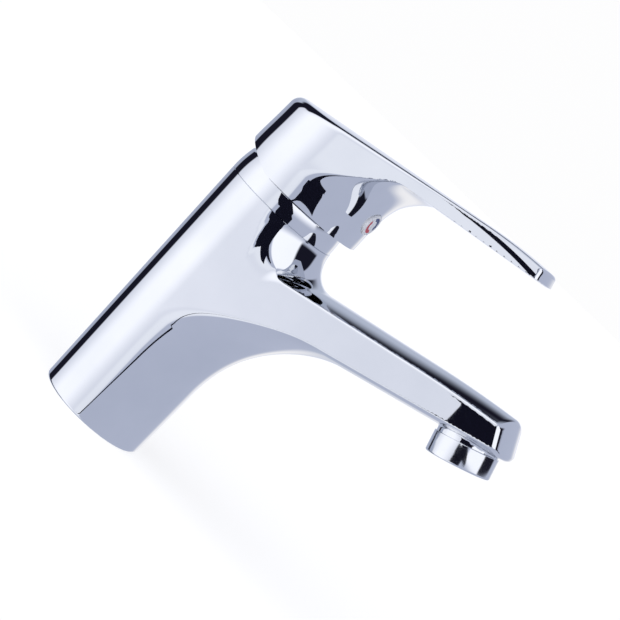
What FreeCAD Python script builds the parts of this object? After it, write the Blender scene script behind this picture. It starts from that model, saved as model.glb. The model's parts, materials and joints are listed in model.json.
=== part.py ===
import FreeCAD, Part
import math
import os

# Single-lever basin mixer tap.  Millimetres.  Origin: centre of the base on the deck plane,
# +Z up, the spout points along -Y, +X is to the right of a user who looks along +Y.

V = FreeCAD.Vector

# ---------------------------------------------------------------- driving dimensions
SEAM_Z = 104.0            # joint between the casting and the dome collar
BASE_R = 22.3             # column radius on the deck
SEAM_R = 24.0             # column radius at the seam
BASE_EDGE = 1.2           # rounded lower edge of the column

SPOUT_TAPER = math.radians(4.4)     # each flank closes towards the tip
UNDER_SLOPE = 0.28                  # rise of the spout's underside per mm of reach
UNDER_Z0 = 63.7                     # height of the underside line at the column axis
UNDER_FILLET = 52.0                 # large radius between column front and underside
FILLET_FACE = 23.2                  # distance of that radius' vertical tangent from the axis
CROWN_SLOPE = 0.2254                # rise of the spout's top per mm of reach
CROWN_Z0 = 86.5                     # height of the top line at the column axis
CROWN_DROP = 4.3                    # the top falls this much from its middle to the flanks
DROOP_START = 85.0                  # beyond this reach the top bends down a little
DROOP_RATE = 0.0012
SADDLE_MID = 13.5                   # concave radius between column and spout top, middle
SADDLE_SIDE = 6.5                   # the same at the flanks
SADDLE_SPREAD = 80.0                # the saddle reaches this many degrees each side of the front
TOP_CUT_HALF = 17.4                 # the cutter over the spout ends this wide, this far out and up
TOP_CUT_REACH = 134.0
TOP_CUT_Z = 150.0
TIP_REACH = 119.8                   # reach of the end face at the top
TIP_TOP_Z = 112.0
TIP_SLANT = 0.55                    # the end face leans forward towards its bottom
TIP_BULGE_R = 40.0                  # it is slightly round in plan

NOZZLE_Y = -111.7                   # centre of the aerator ring's upper edge
NOZZLE_Z = 93.5
NOZZLE_TILT = 18.0                  # degrees, the jet leans forward
RING_R = 12.45                      # visible aerator ring
RING_H = 8.1
NECK_R = 11.9                       # neck of the casting above the ring
THREAD_R = 10.95                    # M22 x 1 male nozzle thread
NOZZLE_LEN = 4.2
NOZZLE_BORE_R = 8.6

CAVITY_FLOOR = 75.0
CAVITY_R = 17.6                     # bore for the 35 mm cartridge
THREAD_BORE_R = 20.05               # bore for the retaining nut
THREAD_BORE_Z = 94.0
RECESS_R = 17.5                     # open recess under the base
RECESS_H = 14.0
SEAL_GROOVE_R = (18.6, 20.8)
SEAL_GROOVE_H = 1.8
INLET_X = 8.2                       # two M10 x 1 hose inlets
INLET_Y = 4.6
INLET_R = 4.5
INLET_DEPTH = 12.0
STUD_Y = -9.5                       # M8 fixing stud thread
STUD_R = 3.4
STUD_DEPTH = 12.0
WATERWAY_R = 3.2
PORT_X = 7.2                        # inlet ports under the cartridge
PORT_Y = 4.6
OUTLET_Y = -7.0
OUTLET_R = 3.4
CHANNEL_R = 4.2

PIVOT_Z = 109.8                     # lever pivot, in the cartridge's rotor
LEVER_ARM = 11.5                    # pivot to the ball that drives the ceramic disc
DISC_OFFSET = 2.2                   # moving disc's centre behind the axis when closed

RIM_Z = 111.8                       # lower rim of the handle skirt
RIM_REAR_Y = 3.5                    # behind this the rim rises so that the handle can tip back
RIM_REAR_SLOPE = 0.31
SKIRT_R = 27.6                      # skirt radius at the reference height
SKIRT_REF_Z = 115.0
SKIRT_DRAFT = 0.012
SKIRT_Y = -1.8
SKIRT_LEAN = 0.07
SKIRT_WALL = 2.4
LEVER_TAPER = math.radians(10.7)
LEVER_UNDER_Z0 = 137.44             # lever underside line: height at the axis and rise per mm
LEVER_UNDER_SLOPE = 0.1525
LEVER_FILLET = 11.0
LEVER_TOP_Z0 = 143.2                # lever top line
LEVER_TOP_SLOPE = 0.164
LEVER_CROWN_R = 200.0               # the top is slightly round across
LEVER_FLAT_START = 66.0
LEVER_FLAT_RATE = 0.0029
LEVER_TIP = 91.2                    # reach of the end face at its upper edge
LEVER_TIP_Z = 156.3
LEVER_TIP_SLANT = 0.28
LEVER_TIP_R = 60.0
ROOF = 4.0                          # thickness of the handle's top over its hollow
SOCKET = 9.04                       # square socket for the cartridge stem
BADGE_Z = 123.7                     # indicator plug in the skirt front
BADGE_R = 4.75

BOSS_Z = 119.2                      # lower end of the boss that takes the stem
BOSS_HALF = 7.5                     # its half width and rear face; its front face
BOSS_FRONT = 10.0

HOUSING_TOP = 102.5                 # shoulder of the 35 mm cartridge housing
DISC_Z = 82.0                       # underside of the fixed ceramic disc
MOVING_Z = 86.52                    # underside of the moving disc
ROTOR_R = 11.95
PIN_R = 2.0
STEM_TOP = 133.5
BALL_R = 2.9
BALL_Z = PIVOT_Z - LEVER_ARM
GRUB_R = 2.5                        # M5 grub screw
SWING = 50.0                        # temperature swing each way, degrees
LUG_HALF_ANGLE = 9.0
COLLAR_ARC_R = 40.0
COLLAR_TOP = 114.5
COLLAR_EDGE = 1.5                   # width of the collar's rounded upper edge
COLLAR_BORE_R = 18.6

HOUSING_R = 17.5                    # 35 mm cartridge: foot, shoulder neck and bore
HOUSING_NECK_R = 15.0
HOUSING_NECK_TOP = 106.0
HOUSING_BORE_R = 15.5
HOUSING_OPENING_R = 12.0            # round opening in which the rotor turns
HOUSING_FOOT_Z = 77.5
PLATE_Z = 75.5                      # foot of the plate that carries the lower seals
FIXED_DISC_R = 15.35
FIXED_DISC_H = 4.5
DISC_KEY_R = 1.6                    # two half-round keys at the fixed disc's rim
MOVING_DISC_R = 12.0
MOVING_DISC_H = 4.0
MIXING_POCKET_R = 6.0
MIXING_POCKET_H = 2.0
FLANGE_R = 14.8                     # rotor flange, which turns under the housing
FLANGE_Z = (97.6, 99.9)
ROTOR_TOP = 114.4
CHEEK_GAP = 4.6                     # half the gap between the rotor's two cheeks
STEM_HALF = 4.5                     # half width of the square stem
STEM_NECK_R = 2.2
STEM_EYE_R = 5.0
NUT_R = 20.0                        # nut thread and its upper shoulder
NUT_SHOULDER_R = 18.5
NUT_BORE_R = 17.6
NUT_HOLE_R = 15.2
NUT_Z = (96.0, 105.0, 110.0)        # foot, shoulder and top of the nut
RING_GROOVE_Z = (107.0, 108.2)      # groove of the ring that grips the collar
STOP_R = (12.4, 14.4)               # the swing stops on the limit ring
LIMIT_R = (12.2, 15.0)
LIMIT_Z = (106.0, 107.8, 110.0)     # foot and top of the ring, top of its stops

INSERT_Z = -5.4                     # the aerator insert's shoulder below the ring's upper edge
INSERT_R = (9.7, 10.5)
SCREEN_HOLDER_R = 8.4
SCREEN_R = 7.3
REGULATOR_R = 8.3
MARK_R = (2.0, 3.5)                 # the badge's curved marks, inside and outside radius
MARK_DEPTH = 0.3

os.makedirs("parts", exist_ok=True)


def save(name, shape):
    shape.exportStep("parts/" + name + ".step")


def cyl(r, z0, z1, x=0.0, y=0.0):
    return Part.makeCylinder(r, z1 - z0, V(x, y, z0))


def tube(r_in, r_out, z0, z1, x=0.0, y=0.0):
    return cyl(r_out, z0, z1, x, y).cut(cyl(r_in, z0 - 1.0, z1 + 1.0, x, y))


def box(x0, x1, y0, y1, z0, z1):
    return Part.makeBox(x1 - x0, y1 - y0, z1 - z0, V(x0, y0, z0))


def rod(a, b, r):
    along = b.sub(a)
    return Part.makeCylinder(r, along.Length, a, along)


def revolve(points):
    """Turn a closed outline of (radius, height) points about the column axis."""
    wire = Part.makePolygon([V(r, 0, z) for r, z in points + [points[0]]])
    return Part.Face(wire).revolve(V(0, 0, 0), V(0, 0, 1), 360)


# ---------------------------------------------------------------- shape of the casting
def column_radius(z):
    return BASE_R + (SEAM_R - BASE_R) * z / SEAM_Z


def half_width(y, radius, centre, taper):
    """Half width in plan of flanks that run tangent from a round body to a narrower tip."""
    return radius / math.cos(taper) + (y - centre) * math.tan(taper)


def fall(z, z_from, z_to):
    """1 below z_from, 0 above z_to, smooth between."""
    s = min(1.0, max(0.0, (z - z_from) / (z_to - z_from)))
    return 0.5 + 0.5 * math.cos(math.pi * s)


def front_reach(z, face, z0, slope, fillet):
    """How far the front stands out at height z: a vertical face, a fillet, then a rising line."""
    angle = math.atan(slope)
    corner = z0 + slope * face
    leg = fillet * math.tan((math.pi / 2 - angle) / 2)
    if z <= corner - leg:
        return face
    if z >= corner + leg * math.sin(angle):
        return (z - z0) / slope
    rise = z - (corner - leg)
    return face + fillet - math.sqrt(fillet ** 2 - rise ** 2)


def slice_wire(z, radius, centre, taper, front, flank_end):
    """Horizontal outline: round back, two tapering flanks, a rounded front."""
    left = V(-radius * math.cos(taper), centre - radius * math.sin(taper), z)
    right = V(-left.x, left.y, z)
    back = Part.Arc(right, V(0, centre + radius, z), left).toShape()
    w = half_width(flank_end, radius, centre, taper)
    near = V(-w, flank_end, z)
    far = V(w, flank_end, z)
    nose = V(0, front, z)
    pull = 0.5523
    step = (front - flank_end) * pull
    edges = [back, Part.makeLine(left, near)]
    for start, sign in ((near, -1), (far, 1)):
        curve = Part.BezierCurve()
        lead = V(start.x + sign * step * math.tan(taper), start.y + step, z)
        curve.setPoles([start, lead, V(sign * w * pull, front, z), nose])
        edges.append(curve.toShape())
    edges.append(Part.makeLine(far, right))
    return Part.Wire(Part.__sortEdges__(edges))


def casting_slice(z):
    radius = column_radius(z)
    reach = front_reach(z, FILLET_FACE, UNDER_Z0, UNDER_SLOPE, UNDER_FILLET)
    front = -(reach - FILLET_FACE + radius)
    depth = 10.5 + 14.5 * fall(z, 50.0, 80.0)
    flank_end = min(-2.2, front + depth)
    return slice_wire(z, radius, 0.0, SPOUT_TAPER, front, flank_end)


def crown_height(x, y):
    w = half_width(y, SEAM_R - 0.3, 0.0, SPOUT_TAPER)
    droop = DROOP_RATE * max(0.0, -y - DROOP_START) ** 2
    return CROWN_Z0 - CROWN_SLOPE * y - droop - CROWN_DROP * (x / w) ** 2


def saddle_section(t):
    """Outline, in one upright plane, of the space over the spout top: wall, fillet, crown."""
    wall_r = SEAM_R + 0.1
    phi = math.radians(SADDLE_SPREAD) * t
    foot = V(wall_r * math.sin(phi), -wall_r * math.cos(phi), 0)
    tip = V(t * TOP_CUT_HALF, -TOP_CUT_REACH, 0)
    along = tip.sub(foot)
    reach = along.Length
    along.normalize()
    radius = SADDLE_SIDE + (SADDLE_MID - SADDLE_SIDE) * (1.0 - t * t)

    def at(s, z):
        return V(foot.x + along.x * s, foot.y + along.y * s, z)

    def crown(s):
        place = at(s, 0)
        return crown_height(place.x, place.y)

    slope = (crown(2.0 * radius) - crown(0.0)) / (2.0 * radius)
    tilt = math.atan(slope)
    centre = crown(0.0) + slope * radius + radius / math.cos(tilt)
    turn = math.radians(225.0) + tilt / 2.0
    end_s = radius * (1.0 + math.sin(tilt))
    end = at(end_s, centre - radius * math.cos(tilt))
    middle = at(radius * (1.0 + math.cos(turn)), centre + radius * math.sin(turn))
    start = at(0, centre)
    run = [end]
    for k in range(1, 9):
        s = end_s + (reach - end_s) * k / 8.0
        run.append(at(s, crown(s)))
    curve = Part.BSplineCurve()
    curve.interpolate(run)
    top = TOP_CUT_Z
    edges = [Part.makeLine(at(0, top), start), Part.Arc(start, middle, end).toShape(), curve.toShape()]
    edges.append(Part.makeLine(run[-1], at(reach, top)))
    edges.append(Part.makeLine(at(reach, top), at(0, top)))
    return Part.Wire(edges)


def spout_top_cutter():
    """Everything above the crowned spout top and in front of the column."""
    count = 6
    return Part.makeLoft([saddle_section(i / count) for i in range(-count, count + 1)], True, False)


def end_cutter(reach, top_z, slant, bulge_r, z0, z1):
    """Everything beyond a slanted, slightly round end face."""
    half = 40.0
    sections = []
    for z in (z0, z1):
        y = -(reach + (top_z - z) * slant)
        sag = half ** 2 / (2.0 * bulge_r)
        arc = Part.Arc(V(-half, y + sag, z), V(0, y, z), V(half, y + sag, z)).toShape()
        far = -260.0
        corners = [V(half, y + sag, z), V(half, far, z), V(-half, far, z), V(-half, y + sag, z)]
        rest = Part.makePolygon(corners)
        sections.append(Part.Wire([arc] + rest.Edges))
    return Part.makeLoft(sections, True, True)


def along_nozzle(shape):
    """Move a shape built about Z, with z = 0 at the ring's upper edge, onto the spout."""
    moved = shape.copy()
    moved.rotate(V(0, 0, 0), V(1, 0, 0), -NOZZLE_TILT)
    moved.translate(V(0, NOZZLE_Y, NOZZLE_Z))
    return moved


def make_body():
    heights = [20, 31, 38, 44, 50, 55, 60, 65, 70, 74, 78, 81]
    root = Part.makeLoft([casting_slice(float(z)) for z in heights], True, False)
    arm = Part.makeLoft([casting_slice(float(z)) for z in (heights[-1], 115)], True, True)
    spout = root.fuse(arm)
    spout = spout.cut(box(-40, 40, -SEAM_R - 12.0, 40, SEAM_Z, 130))
    spout = spout.cut(spout_top_cutter())
    spout = spout.cut(end_cutter(TIP_REACH, TIP_TOP_Z, TIP_SLANT, TIP_BULGE_R, 60.0, 130.0))
    column = Part.makeCone(BASE_R, SEAM_R, SEAM_Z)
    column = column.makeFillet(BASE_EDGE, [e for e in column.Edges if e.BoundBox.ZMax < 0.01])
    neck = along_nozzle(cyl(NECK_R, 0.0, 7.0).fuse(cyl(THREAD_R, -NOZZLE_LEN, 1.0)))
    solid = column.fuse([spout, neck]).removeSplitter()
    return solid


def body_waterways():
    cuts = [cyl(CAVITY_R, CAVITY_FLOOR, SEAM_Z + 1), cyl(THREAD_BORE_R, THREAD_BORE_Z, SEAM_Z + 1)]
    cuts.append(cyl(RECESS_R, -1, RECESS_H))
    cuts.append(tube(SEAL_GROOVE_R[0], SEAL_GROOVE_R[1], -1, SEAL_GROOVE_H))
    for side in (-1, 1):
        cuts.append(cyl(INLET_R, RECESS_H - 1, RECESS_H + INLET_DEPTH, side * INLET_X, INLET_Y))
        cuts.append(cyl(WATERWAY_R, RECESS_H + INLET_DEPTH - 1, CAVITY_FLOOR + 1, side * PORT_X, PORT_Y))
    cuts.append(cyl(STUD_R, RECESS_H - 1, RECESS_H + STUD_DEPTH, 0, STUD_Y))
    points = [V(0, OUTLET_Y, 62.5), V(0, -40, 82.5), V(0, -109, 102)]
    cuts.append(cyl(OUTLET_R, 62.5, CAVITY_FLOOR + 1, 0, OUTLET_Y))
    for a, b in zip(points, points[1:]):
        cuts.append(rod(a, b, CHANNEL_R))
        cuts.append(Part.makeSphere(CHANNEL_R, a))
    cuts.append(Part.makeSphere(CHANNEL_R, points[-1]))
    cuts.append(along_nozzle(cyl(NOZZLE_BORE_R, -NOZZLE_LEN - 1, 6.0)))
    return cuts


# ---------------------------------------------------------------- shape of the handle
def skirt_centre(z):
    return SKIRT_Y - SKIRT_LEAN * (z - SKIRT_REF_Z)


def skirt_radius(z):
    return SKIRT_R - SKIRT_DRAFT * (z - SKIRT_REF_Z)


def handle_slice(z):
    radius = skirt_radius(z)
    centre = skirt_centre(z)
    front = -front_reach(z, radius - centre, LEVER_UNDER_Z0, LEVER_UNDER_SLOPE, LEVER_FILLET)
    depth = 9.0 + 13.2 * fall(z, 118.0, 142.0)
    flank_end = min(centre - radius * math.sin(LEVER_TAPER) - 0.4, front + depth)
    return slice_wire(z, radius, centre, LEVER_TAPER, front, flank_end)


def lever_top(y):
    return LEVER_TOP_Z0 - LEVER_TOP_SLOPE * y - LEVER_FLAT_RATE * max(0.0, -y - LEVER_FLAT_START) ** 2


def lever_top_cutter(drop):
    """Everything above the handle's slightly crowned top, lowered by drop."""
    half = 40.0
    sag = half ** 2 / (2.0 * LEVER_CROWN_R)
    sections = []
    for y in (45.0, 0.0, -40.0, -66.0, -80.0, -95.0, -125.0):
        z = lever_top(y) - drop
        arc = Part.Arc(V(-half, y, z - sag), V(0, y, z), V(half, y, z - sag)).toShape()
        high = 200.0
        corners = [V(half, y, z - sag), V(half, y, high), V(-half, y, high), V(-half, y, z - sag)]
        rest = Part.makePolygon(corners)
        sections.append(Part.Wire([arc] + rest.Edges))
    return Part.makeLoft(sections, True, False)


def rim_cutter():
    """The open lower rim, which rises at the rear."""
    back = 60.0
    rise = RIM_REAR_SLOPE * (back - RIM_REAR_Y)
    points = [V(-40, -60, RIM_Z), V(-40, RIM_REAR_Y, RIM_Z), V(-40, back, RIM_Z + rise)]
    points += [V(-40, back, 90), V(-40, -60, 90), points[0]]
    return Part.Face(Part.makePolygon(points)).extrude(V(80, 0, 0))


def make_handle():
    low = [108, 114, 120, 125, 129, 132, 134.5, 137, 139, 140.5, 142, 143, 144]
    skirt = Part.makeLoft([handle_slice(z) for z in low], True, False)
    lever = Part.makeLoft([handle_slice(z) for z in (low[-1], 162)], True, True)
    solid = skirt.fuse(lever)
    solid = solid.cut(lever_top_cutter(0.0))
    solid = solid.cut(end_cutter(LEVER_TIP, LEVER_TIP_Z, LEVER_TIP_SLANT, LEVER_TIP_R, 120.0, 190.0))
    solid = solid.cut(rim_cutter())
    rings = []
    for z in (100.0, 145.0):
        inner = Part.makeCircle(skirt_radius(z) - SKIRT_WALL, V(0, skirt_centre(z), z))
        rings.append(Part.Wire(inner))
    hollow = Part.makeLoft(rings, True, True).cut(lever_top_cutter(ROOF))
    hollow = hollow.cut(box(-BOSS_HALF, BOSS_HALF, -BOSS_FRONT, BOSS_HALF, BOSS_Z, 150))
    solid = solid.cut(hollow)
    half = SOCKET / 2.0
    solid = solid.cut(box(-half, half, -half, half, BOSS_Z - 1, STEM_TOP + 0.3))
    solid = solid.cut(rod(V(0, -12, BADGE_Z), V(0, 0, BADGE_Z), GRUB_R + 0.05))
    solid = solid.cut(rod(V(0, -40, BADGE_Z), V(0, -22, BADGE_Z), BADGE_R + 0.05))
    return solid.removeSplitter()


# ---------------------------------------------------------------- cartridge and its parts
def make_housing():
    """Cup of the cartridge: open below, a round opening for the rotor above."""
    shape = cyl(HOUSING_R, HOUSING_FOOT_Z, HOUSING_TOP)
    shape = shape.fuse(cyl(HOUSING_NECK_R, HOUSING_TOP, HOUSING_NECK_TOP))
    shape = shape.cut(cyl(HOUSING_BORE_R, HOUSING_FOOT_Z - 1.5, 100.0))
    return shape.cut(cyl(HOUSING_OPENING_R, 99.0, HOUSING_NECK_TOP + 1))


def port_holes(z0, z1, r_in, r_out):
    holes = [cyl(r_in, z0, z1, side * PORT_X, PORT_Y) for side in (-1, 1)]
    holes.append(cyl(r_out, z0, z1, 0, OUTLET_Y))
    return holes


def port_rings(z0, z1, gap):
    rings = [tube(3.35 + gap, 4.55 - gap, z0, z1, side * PORT_X, PORT_Y) for side in (-1, 1)]
    rings.append(tube(3.55 + gap, 4.75 - gap, z0, z1, 0, OUTLET_Y))
    return rings


def make_base_plate():
    shape = cyl(HOUSING_R - 0.1, PLATE_Z, HOUSING_FOOT_Z)
    shape = shape.fuse(cyl(HOUSING_BORE_R - 0.1, HOUSING_FOOT_Z, DISC_Z))
    shape = shape.cut(Part.makeCompound(port_holes(74, 84, 2.7, 3.0)))
    for ring in port_rings(75.0, 76.2, 0.0) + port_rings(DISC_Z - 1.0, DISC_Z + 1.0, 0.0):
        shape = shape.cut(ring)
    return shape


def make_fixed_disc():
    shape = cyl(FIXED_DISC_R, DISC_Z, DISC_Z + FIXED_DISC_H)
    shape = shape.cut(Part.makeCompound(port_holes(80, 90, 2.4, 2.8)))
    for side in (-1, 1):
        shape = shape.cut(cyl(DISC_KEY_R, 80, 90, side * FIXED_DISC_R, 0))
    return shape


def make_moving_disc():
    shape = cyl(MOVING_DISC_R, MOVING_Z, MOVING_Z + MOVING_DISC_H, 0, DISC_OFFSET)
    pocket = cyl(MIXING_POCKET_R, MOVING_Z - 1, MOVING_Z + MIXING_POCKET_H, 0, DISC_OFFSET - 2.5)
    return shape.cut(pocket)


def make_carrier():
    low = MOVING_Z + MOVING_DISC_H
    shape = cyl(MOVING_DISC_R, low, low + 3.0, 0, DISC_OFFSET)
    shape = shape.fuse(box(-8, 8, -6, 6, low + 2.0, 99.4))
    return shape.cut(cyl(BALL_R + 0.2, low + 4.0, 101.0))


def make_rotor():
    """Turret that turns with the handle: flange under the housing, two cheeks for the lever pin."""
    flange = cyl(FLANGE_R, FLANGE_Z[0], FLANGE_Z[1])
    shape = flange.fuse(cyl(ROTOR_R, 99.0, ROTOR_TOP))
    shape = shape.cut(box(-8.1, 8.1, -11.2, 7.2, 97.0, 99.95))
    shape = shape.cut(box(-CHEEK_GAP, CHEEK_GAP, -16, 16, 97.0, ROTOR_TOP + 1.6))
    shape = shape.fuse(box(-14.2, -8.1, -11, 11, FLANGE_Z[0], FLANGE_Z[1]).common(flange))
    lug = tube(11.0, STOP_R[1], 108.2, 110.0).common(box(-2, 2, 10.6, 15, 108, 111))
    bridge = box(-7, 7, 9.6, 11.2, 108.2, 110.0).common(cyl(ROTOR_R, 108, 111))
    shape = shape.fuse([lug, bridge])
    return shape.cut(rod(V(-20, 0, PIVOT_Z), V(20, 0, PIVOT_Z), PIN_R))


def make_stem():
    """Lever of the cartridge: square above, round about the pin, ball below."""
    half = STEM_HALF
    eye = rod(V(-half, 0, PIVOT_Z), V(half, 0, PIVOT_Z), STEM_EYE_R)
    shape = box(-half, half, -half, half, PIVOT_Z, STEM_TOP).fuse(eye)
    shape = shape.fuse([cyl(STEM_NECK_R, BALL_Z, PIVOT_Z), Part.makeSphere(BALL_R, V(0, 0, BALL_Z))])
    return shape.cut(rod(V(-20, 0, PIVOT_Z), V(20, 0, PIVOT_Z), PIN_R + 0.05))


def make_retaining_nut():
    foot, shoulder, top = NUT_Z
    shape = cyl(NUT_R, foot, shoulder).fuse(cyl(NUT_SHOULDER_R, shoulder, top))
    shape = shape.cut(cyl(NUT_BORE_R, foot - 1.0, HOUSING_TOP))
    shape = shape.cut(cyl(NUT_HOLE_R, HOUSING_TOP - 0.5, top + 1.0))
    shape = shape.cut(tube(NUT_BORE_R + 0.1, NUT_R, RING_GROOVE_Z[0], RING_GROOVE_Z[1]))
    for side in (-1, 1):
        shape = shape.cut(box(side * 17.0 - 2.0, side * 17.0 + 2.0, -1.5, 1.5, 108.8, 111.0))
    return shape


def make_collar():
    """Dome collar: a barrel profile over the nut, closing inwards at the top."""
    def r(z):
        return math.sqrt(COLLAR_ARC_R ** 2 - (z - SEAM_Z - 0.6) ** 2) - COLLAR_ARC_R + SEAM_R

    top = COLLAR_TOP
    edge = COLLAR_EDGE
    ledge = NUT_Z[1] + 0.1
    ledge_r = NUT_R + 0.3
    a = V(r(SEAM_Z), 0, SEAM_Z)
    b = V(r(109.0), 0, 109.0)
    c = V(r(top - edge), 0, top - edge)
    d = V(r(top) - edge * 0.3 - 0.2, 0, top - edge * 0.3)
    e = V(r(top) - edge, 0, top)
    outline = [Part.Arc(a, b, c).toShape(), Part.Arc(c, d, e).toShape()]
    inner = [e, V(COLLAR_BORE_R, 0, top), V(COLLAR_BORE_R, 0, ledge)]
    inner += [V(ledge_r, 0, ledge), V(ledge_r, 0, SEAM_Z), a]
    outline += Part.makePolygon(inner).Edges
    return Part.Face(Part.Wire(outline)).revolve(V(0, 0, 0), V(0, 0, 1), 360)


def make_limit_ring():
    """Ring on the housing neck whose two stops meet the rotor's lug at the ends of the swing."""
    foot, top, stop_top = LIMIT_Z
    shape = tube(LIMIT_R[0], LIMIT_R[1], foot, top)
    reach = SWING + LUG_HALF_ANGLE + 9.0
    for side in (-1, 1):
        stop = tube(STOP_R[0], STOP_R[1], top, stop_top).common(box(-1.5, 1.5, 11, 16, 107, 111))
        stop.rotate(V(0, 0, 0), V(0, 0, 1), side * reach)
        shape = shape.fuse(stop)
    return shape


# ---------------------------------------------------------------- aerator, built about Z from its top
def ring_of_holes(rows, r, z0, z1):
    holes = [cyl(r, z0, z1)]
    for radius, count in rows:
        for i in range(count):
            a = 2.0 * math.pi * i / count
            holes.append(cyl(r, z0, z1, radius * math.cos(a), radius * math.sin(a)))
    return Part.makeCompound(holes)


def make_aerator_housing():
    shape = cyl(RING_R, -RING_H, 0)
    shape = shape.makeFillet(0.7, [e for e in shape.Edges if e.BoundBox.ZLength < 0.01])
    shape = shape.cut(cyl(THREAD_R + 0.05, -4.6, 1))
    shape = shape.cut(cyl(10.6, -RING_H + 0.8, -4.0))
    return shape.cut(cyl(9.8, -RING_H - 1, -4.0))


def make_aerator_insert():
    low = -RING_H + 0.8
    holder = cyl(SCREEN_HOLDER_R, INSERT_Z, -1.2)
    shape = cyl(INSERT_R[1], low, INSERT_Z).fuse([cyl(INSERT_R[0], low - 0.6, low), holder])
    shape = shape.cut(cyl(SCREEN_R + 0.1, INSERT_Z - 0.2, -1.0))
    return shape.cut(ring_of_holes([(2.6, 6), (5.2, 12)], 0.9, low - 2, -4))


def make_parts():
    shapes = {"body": make_body()}
    for cut in body_waterways():
        shapes["body"] = shapes["body"].cut(cut)
    shapes["base_seal"] = tube(SEAL_GROOVE_R[0] + 0.05, SEAL_GROOVE_R[1] - 0.05, 0, SEAL_GROOVE_H)
    shapes["cartridge_housing"] = make_housing()
    shapes["cartridge_base_plate"] = make_base_plate()
    shapes["base_plate_seals"] = Part.makeCompound(port_rings(75.0, 76.2, 0.03))
    shapes["disc_seals"] = Part.makeCompound(port_rings(DISC_Z - 1.0, DISC_Z, 0.03))
    shapes["fixed_disc"] = make_fixed_disc()
    shapes["moving_disc"] = make_moving_disc()
    shapes["disc_carrier"] = make_carrier()
    shapes["rotor"] = make_rotor()
    shapes["pivot_pin"] = rod(V(-11, 0, PIVOT_Z), V(11, 0, PIVOT_Z), PIN_R)
    shapes["stem"] = make_stem()
    shapes["retaining_nut"] = make_retaining_nut()
    shapes["collar_ring"] = tube(17.75, 18.55, 107.05, 108.15)
    shapes["dome_collar"] = make_collar()
    shapes["limit_ring"] = make_limit_ring()
    shapes["handle"] = make_handle()
    grub = rod(V(0, -10, BADGE_Z), V(0, -4.52, BADGE_Z), GRUB_R)
    shapes["grub_screw"] = grub.cut(rod(V(0, -11, BADGE_Z), V(0, -7.4, BADGE_Z), 1.25))
    shapes.update(make_badge())
    shapes["aerator_housing"] = along_nozzle(make_aerator_housing())
    shapes["aerator_gasket"] = along_nozzle(tube(8.7, INSERT_R[1], INSERT_Z, -NOZZLE_LEN))
    shapes["aerator_insert"] = along_nozzle(make_aerator_insert())
    screen = cyl(SCREEN_R, -3.2, -2.7).cut(ring_of_holes([(2.2, 6), (4.2, 12), (6.1, 18)], 0.7, -4, -2))
    shapes["aerator_screen"] = along_nozzle(screen)
    regulator = cyl(REGULATOR_R, -1.2, 0.9).cut(ring_of_holes([(5.4, 8)], 1.1, -2, 2))
    shapes["flow_regulator"] = along_nozzle(regulator)
    return shapes


def make_badge():
    """Plug over the grub screw: a light cap with a red and a blue mark."""
    front = skirt_centre(BADGE_Z) - skirt_radius(BADGE_Z) - 0.15
    cap = rod(V(0, front, BADGE_Z), V(0, front + 4.0, BADGE_Z), BADGE_R)
    cap = cap.makeFillet(0.4, [e for e in cap.Edges if e.BoundBox.YMax < front + 0.01])
    marks = {}
    for name, side in (("hot_mark", 1), ("cold_mark", -1)):
        mark = rod(V(0, front, BADGE_Z), V(0, front + MARK_DEPTH, BADGE_Z), MARK_R[1])
        mark = mark.cut(rod(V(0, front - 1, BADGE_Z), V(0, front + 1, BADGE_Z), MARK_R[0]))
        keep = Part.makeBox(3.2, 2.0, 8.0, V(-4.0, front - 0.5, -4.0))
        if side > 0:
            turn = -45.0
        else:
            turn = 135.0
        keep.rotate(V(0, 0, 0), V(0, 1, 0), turn)
        keep.translate(V(0, 0, BADGE_Z))
        marks[name] = mark.common(keep)
        cap = cap.cut(marks[name])
    marks["indicator_plug"] = cap
    return marks


for name, shape in make_parts().items():
    save(name, shape)
    print(name, shape.isValid(), [round(solid.Volume) for solid in shape.Solids])
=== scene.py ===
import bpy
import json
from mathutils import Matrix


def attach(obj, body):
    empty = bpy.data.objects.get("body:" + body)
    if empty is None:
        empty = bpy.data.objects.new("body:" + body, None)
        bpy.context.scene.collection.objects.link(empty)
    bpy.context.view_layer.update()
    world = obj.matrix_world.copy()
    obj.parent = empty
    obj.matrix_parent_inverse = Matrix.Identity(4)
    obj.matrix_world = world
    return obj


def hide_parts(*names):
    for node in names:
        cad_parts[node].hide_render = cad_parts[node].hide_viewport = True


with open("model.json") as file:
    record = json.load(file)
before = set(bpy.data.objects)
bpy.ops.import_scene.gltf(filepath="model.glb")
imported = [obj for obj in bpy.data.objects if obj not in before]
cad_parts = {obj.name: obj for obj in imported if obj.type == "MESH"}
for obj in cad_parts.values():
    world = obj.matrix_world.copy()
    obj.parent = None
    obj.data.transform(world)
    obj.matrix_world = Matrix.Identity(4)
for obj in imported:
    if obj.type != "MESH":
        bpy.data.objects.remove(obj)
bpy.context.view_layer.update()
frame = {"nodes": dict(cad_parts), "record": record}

import json
import math

import bpy
import numpy as np
from mathutils import Matrix, Vector

# Shapes are worked out in millimetres in the object's own frame and written in metres.
MM = 0.001
NODES = frame["nodes"]

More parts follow.
